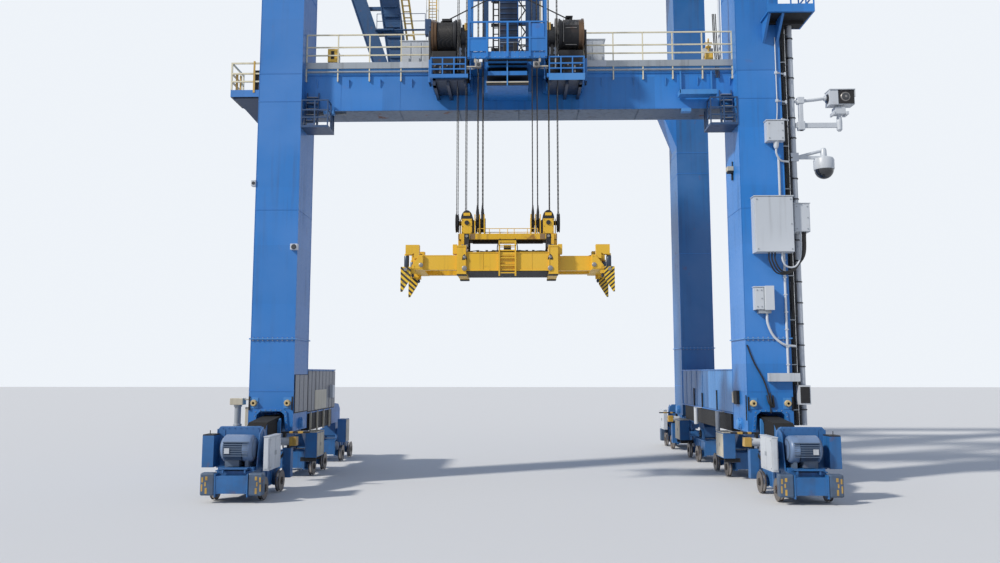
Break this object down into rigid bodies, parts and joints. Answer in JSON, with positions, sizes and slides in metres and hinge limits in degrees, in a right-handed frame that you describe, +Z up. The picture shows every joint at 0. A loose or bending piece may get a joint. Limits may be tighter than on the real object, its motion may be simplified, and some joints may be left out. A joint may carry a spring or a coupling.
{
  "type": "rail mounted gantry crane",
  "caption": "Portal crane on rail bogies with a hoist platform, rope drums and a telescopic container spreader on ropes.",
  "frame": {"origin": "ground level under the middle of the crane, halfway between the tracks and between the front and rear buffers", "axes": "+X across the tracks to the right leg, +Y along the tracks to the rear, +Z up"},
  "size_m": [28.4, 24.1, 29.8],
  "materials": {
    "steel_blue": "satin weathered paint",
    "spreader_yellow": "satin worn paint",
    "striped_paint": "yellow and black hazard stripes",
    "wire_rope": "greased wire rope",
    "dark_steel": "greased, rust on the rims",
    "wheel_steel": "rolled bright on the tread",
    "rail_cream": "satin",
    "cabinet_grey": "satin",
    "motor_blue": "satin",
    "deck_grey": "galvanised, dull",
    "safety_yellow": "satin"
  },
  "bodies": {
    "frame": {"front_left_leg": "steel_blue", "front_right_leg": "steel_blue", "rear_right_leg": "steel_blue", "left_sill_beam": "steel_blue", "right_sill_beam": "steel_blue", "portal_girder": "steel_blue", "rear_girder": "steel_blue", "front_top_girder": "steel_blue", "rear_top_girder": "steel_blue", "top_side_beams": "steel_blue", "leaning_braces": "steel_blue", "brace_ladders": "safety_yellow", "hoist_tower": "steel_blue", "head_frame": "steel_blue", "girder_walkway": "deck_grey", "walkway_rails": "rail_cream", "walkway_cabinets": "cabinet_grey", "left_leg_platform": "steel_blue", "right_leg_platform": "steel_blue", "corner_platforms": "deck_grey", "hoist_platform": "steel_blue", "platform_rails": "steel_blue", "hoist_drives": "dark_steel", "drum_ropes": "wire_rope", "bogies_front_left": "steel_blue", "bogies_front_right": "steel_blue", "bogies_rear_right": "steel_blue", "bogie_rear_left": "steel_blue", "travel_motors": "motor_blue", "bogie_cabinets": "cabinet_grey", "buffers": "steel_blue", "cable_mast": "cabinet_grey", "leg_cabinets": "cabinet_grey", "box_camera": "cabinet_grey", "dome_camera": "cabinet_grey", "leg_lamps": "safety_yellow", "hoist_ropes": "wire_rope"},
    "left_drum": {"left_drum": "dark_steel"},
    "right_drum": {"right_drum": "dark_steel"},
    "head_block": {"head_block": "spreader_yellow", "spreader_frame": "spreader_yellow", "spreader_ladder": "spreader_yellow"},
    "block_sheaves": {"block_sheaves": "dark_steel"},
    "left_arm": {"left_arm": "spreader_yellow"},
    "right_arm": {"right_arm": "spreader_yellow"},
    "left_flippers": {"left_flippers": "striped_paint"},
    "right_flippers": {"right_flippers": "striped_paint"},
    "head_sheaves": {"head_sheaves": "dark_steel"},
    "wheels_1": {"wheels_1": "wheel_steel"},
    "wheels_2": {"wheels_2": "wheel_steel"},
    "wheels_3": {"wheels_3": "wheel_steel"},
    "wheels_4": {"wheels_4": "wheel_steel"},
    "wheels_5": {"wheels_5": "wheel_steel"},
    "wheels_6": {"wheels_6": "wheel_steel"},
    "wheels_7": {"wheels_7": "wheel_steel"},
    "wheels_8": {"wheels_8": "wheel_steel"}
  },
  "joints": [
    {"name": "hoist", "type": "slide", "parent": "frame", "child": "head_block", "axis": [0, 0, 1], "range_m": [-7.2, 3], "deforming": ["hoist_ropes"]},
    {"name": "left_drum_turn", "type": "hinge", "parent": "frame", "child": "left_drum", "pos_m": [-3.06, -7.87, 18.44], "axis": [1, 0, 0], "range_deg": [-1400, 600]},
    {"name": "right_drum_turn", "type": "hinge", "parent": "frame", "child": "right_drum", "pos_m": [2.2, -7.87, 18.44], "axis": [1, 0, 0], "range_deg": [-1400, 600]},
    {"name": "head_sheaves_turn", "type": "hinge", "parent": "frame", "child": "head_sheaves", "pos_m": [-0.43, -8.49, 27.3], "axis": [1, 0, 0], "range_deg": [-1400, 600]},
    {"name": "block_sheaves_turn", "type": "hinge", "parent": "head_block", "child": "block_sheaves", "pos_m": [-0.43, -8.49, 10.44], "axis": [1, 0, 0], "range_deg": [-1400, 600]},
    {"name": "left_arm_slide", "type": "slide", "parent": "head_block", "child": "left_arm", "axis": [-1, 0, 0], "range_m": [-1.05, 1.82]},
    {"name": "right_arm_slide", "type": "slide", "parent": "head_block", "child": "right_arm", "axis": [1, 0, 0], "range_m": [-1.05, 1.82]},
    {"name": "left_flippers_turn", "type": "hinge", "parent": "left_arm", "child": "left_flippers", "pos_m": [-4.34, -8.49, 8.44], "axis": [0, 1, 0], "range_deg": [0, 150]},
    {"name": "right_flippers_turn", "type": "hinge", "parent": "right_arm", "child": "right_flippers", "pos_m": [3.48, -8.49, 8.44], "axis": [0, -1, 0], "range_deg": [0, 150]},
    {"name": "wheels_1_turn", "type": "hinge", "parent": "frame", "child": "wheels_1", "pos_m": [0, -11.15, 0.4], "axis": [1, 0, 0], "continuous": true},
    {"name": "wheels_2_turn", "type": "hinge", "parent": "frame", "child": "wheels_2", "pos_m": [0, -9.05, 0.4], "axis": [1, 0, 0], "continuous": true},
    {"name": "wheels_3_turn", "type": "hinge", "parent": "frame", "child": "wheels_3", "pos_m": [0, -4.05, 0.4], "axis": [1, 0, 0], "continuous": true},
    {"name": "wheels_4_turn", "type": "hinge", "parent": "frame", "child": "wheels_4", "pos_m": [0, -1.95, 0.4], "axis": [1, 0, 0], "continuous": true},
    {"name": "wheels_5_turn", "type": "hinge", "parent": "frame", "child": "wheels_5", "pos_m": [0, 1.95, 0.4], "axis": [1, 0, 0], "continuous": true},
    {"name": "wheels_6_turn", "type": "hinge", "parent": "frame", "child": "wheels_6", "pos_m": [0, 4.05, 0.4], "axis": [1, 0, 0], "continuous": true},
    {"name": "wheels_7_turn", "type": "hinge", "parent": "frame", "child": "wheels_7", "pos_m": [0, 9.05, 0.4], "axis": [1, 0, 0], "continuous": true},
    {"name": "wheels_8_turn", "type": "hinge", "parent": "frame", "child": "wheels_8", "pos_m": [0, 11.15, 0.4], "axis": [1, 0, 0], "continuous": true}
  ],
  "couplings": [
    {"joint": "left_drum_turn", "follows": "hoist", "rad_per_m": 3.2258},
    {"joint": "right_drum_turn", "follows": "hoist", "rad_per_m": 3.2258},
    {"joint": "head_sheaves_turn", "follows": "hoist", "rad_per_m": 2.2},
    {"joint": "block_sheaves_turn", "follows": "hoist", "rad_per_m": 2.2},
    {"joint": "right_arm_slide", "follows": "left_arm_slide", "ratio": 1},
    {"joint": "wheels_2_turn", "follows": "wheels_1_turn", "ratio": 1},
    {"joint": "wheels_3_turn", "follows": "wheels_1_turn", "ratio": 1},
    {"joint": "wheels_4_turn", "follows": "wheels_1_turn", "ratio": 1},
    {"joint": "wheels_5_turn", "follows": "wheels_1_turn", "ratio": 1},
    {"joint": "wheels_6_turn", "follows": "wheels_1_turn", "ratio": 1},
    {"joint": "wheels_7_turn", "follows": "wheels_1_turn", "ratio": 1},
    {"joint": "wheels_8_turn", "follows": "wheels_1_turn", "ratio": 1}
  ]
}
